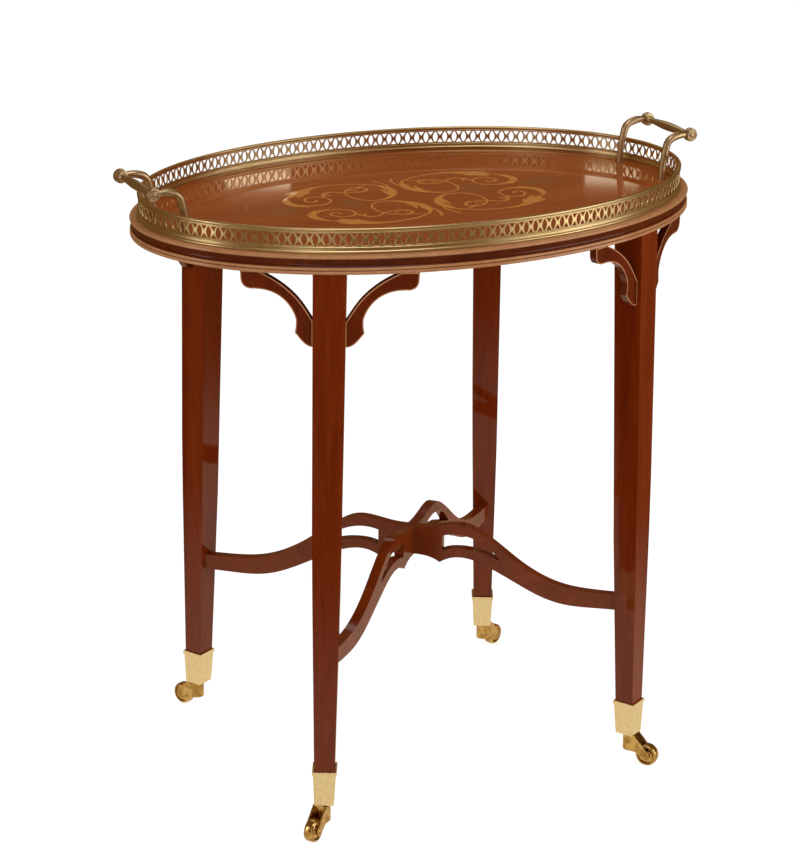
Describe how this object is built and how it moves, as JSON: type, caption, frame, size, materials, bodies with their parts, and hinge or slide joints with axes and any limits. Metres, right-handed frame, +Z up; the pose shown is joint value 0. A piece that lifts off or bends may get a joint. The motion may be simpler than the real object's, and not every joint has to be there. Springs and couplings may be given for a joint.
{
  "type": "tray top tea table",
  "caption": "Oval tea table on square tapered legs with crossed stretchers and casters; its top is a lift-off galleried tray with a handle at each end.",
  "frame": {"origin": "on the floor under the middle of the oval top", "axes": "+X along the oval's long axis towards the right handle, +Y along its short axis to the rear, +Z up"},
  "size_m": [0.7368, 0.4884, 0.7764],
  "materials": {
    "mahogany_board": "polished mahogany board, fine straight grain",
    "marquetry": "glossy mahogany veneer with lighter scroll marquetry",
    "mahogany_moulding": "polished mahogany moulding with pale stringing",
    "mahogany_leg": "polished mahogany, straight grain along the leg",
    "mahogany_bracket": "polished mahogany with a pale line along the edges",
    "mahogany_stretcher": "polished mahogany",
    "beech": "plain turned beech",
    "gallery_brass": "bright pierced brass with darker recesses",
    "handle_brass": "cast brass, dark old patina",
    "socket_brass": "satin brass",
    "caster_brass": "cast brass with tarnish in the recesses",
    "caster_pin": "turned steel, brown with age",
    "screw_steel": "plain steel wood screws"
  },
  "bodies": {
    "stand": {"bracket_front_left_end": "mahogany_bracket", "bracket_front_left_side": "mahogany_bracket", "bracket_front_right_end": "mahogany_bracket", "bracket_front_right_side": "mahogany_bracket", "bracket_rear_left_end": "mahogany_bracket", "bracket_rear_left_side": "mahogany_bracket", "bracket_rear_right_end": "mahogany_bracket", "bracket_rear_right_side": "mahogany_bracket", "bracket_screws": "screw_steel", "caster_socket_front_left": "socket_brass", "caster_socket_front_right": "socket_brass", "caster_socket_rear_left": "socket_brass", "caster_socket_rear_right": "socket_brass", "frieze_bead": "mahogany_moulding", "leg_front_left": "mahogany_leg", "leg_front_right": "mahogany_leg", "leg_rear_left": "mahogany_leg", "leg_rear_right": "mahogany_leg", "leg_screws": "screw_steel", "locating_pegs": "beech", "stretcher_dowels": "beech", "stretcher_front_left_to_rear_right": "mahogany_stretcher", "stretcher_rear_left_to_front_right": "mahogany_stretcher", "top_frame": "mahogany_board"},
    "tray": {"gallery_base_rail": "gallery_brass", "gallery_fret": "gallery_brass", "gallery_screws": "screw_steel", "gallery_top_rail": "gallery_brass", "handle_nuts": "handle_brass", "left_front_handle_post": "handle_brass", "left_handle_grip": "handle_brass", "left_handle_rosettes": "handle_brass", "left_rear_handle_post": "handle_brass", "marquetry_panel": "marquetry", "right_front_handle_post": "handle_brass", "right_handle_grip": "handle_brass", "right_handle_rosettes": "handle_brass", "right_rear_handle_post": "handle_brass", "tray_board": "mahogany_board", "tray_edge_moulding": "mahogany_moulding"},
    "caster_horn_front_left": {"caster_fork_front_left": "caster_brass", "caster_spindle_front_left": "caster_pin", "caster_axle_front_left": "caster_pin"},
    "wheel_front_left": {"caster_wheel_front_left": "caster_brass"},
    "caster_horn_rear_left": {"caster_fork_rear_left": "caster_brass", "caster_spindle_rear_left": "caster_pin", "caster_axle_rear_left": "caster_pin"},
    "wheel_rear_left": {"caster_wheel_rear_left": "caster_brass"},
    "caster_horn_rear_right": {"caster_fork_rear_right": "caster_brass", "caster_spindle_rear_right": "caster_pin", "caster_axle_rear_right": "caster_pin"},
    "wheel_rear_right": {"caster_wheel_rear_right": "caster_brass"},
    "caster_horn_front_right": {"caster_fork_front_right": "caster_brass", "caster_spindle_front_right": "caster_pin", "caster_axle_front_right": "caster_pin"},
    "wheel_front_right": {"caster_wheel_front_right": "caster_brass"}
  },
  "joints": [
    {"name": "tray_lift", "type": "slide", "parent": "stand", "child": "tray", "axis": [0, 0, 1], "range_m": [0, 0.08]},
    {"name": "swivel_front_left", "type": "hinge", "parent": "stand", "child": "caster_horn_front_left", "pos_m": [-0.21404, -0.19039, 0.0392], "axis": [0, 0, 1], "continuous": true},
    {"name": "roll_front_left", "type": "hinge", "parent": "caster_horn_front_left", "child": "wheel_front_left", "pos_m": [-0.23616, -0.20587, 0.014], "axis": [0.5736, -0.8192, 0], "continuous": true},
    {"name": "swivel_rear_left", "type": "hinge", "parent": "stand", "child": "caster_horn_rear_left", "pos_m": [-0.21404, 0.19039, 0.0392], "axis": [0, 0, 1], "continuous": true},
    {"name": "roll_rear_left", "type": "hinge", "parent": "caster_horn_rear_left", "child": "wheel_rear_left", "pos_m": [-0.22415, 0.21542, 0.014], "axis": [-0.9272, -0.3746, 0], "continuous": true},
    {"name": "swivel_rear_right", "type": "hinge", "parent": "stand", "child": "caster_horn_rear_right", "pos_m": [0.21404, 0.19039, 0.0392], "axis": [0, 0, 1], "continuous": true},
    {"name": "roll_rear_right", "type": "hinge", "parent": "caster_horn_rear_right", "child": "wheel_rear_right", "pos_m": [0.2383, 0.20222, 0.014], "axis": [-0.4384, 0.8988, 0], "continuous": true},
    {"name": "swivel_front_right", "type": "hinge", "parent": "stand", "child": "caster_horn_front_right", "pos_m": [0.21404, -0.19039, 0.0392], "axis": [0, 0, 1], "continuous": true},
    {"name": "roll_front_right", "type": "hinge", "parent": "caster_horn_front_right", "child": "wheel_front_right", "pos_m": [0.22991, -0.21223, 0.014], "axis": [0.809, 0.5878, 0], "continuous": true}
  ]
}
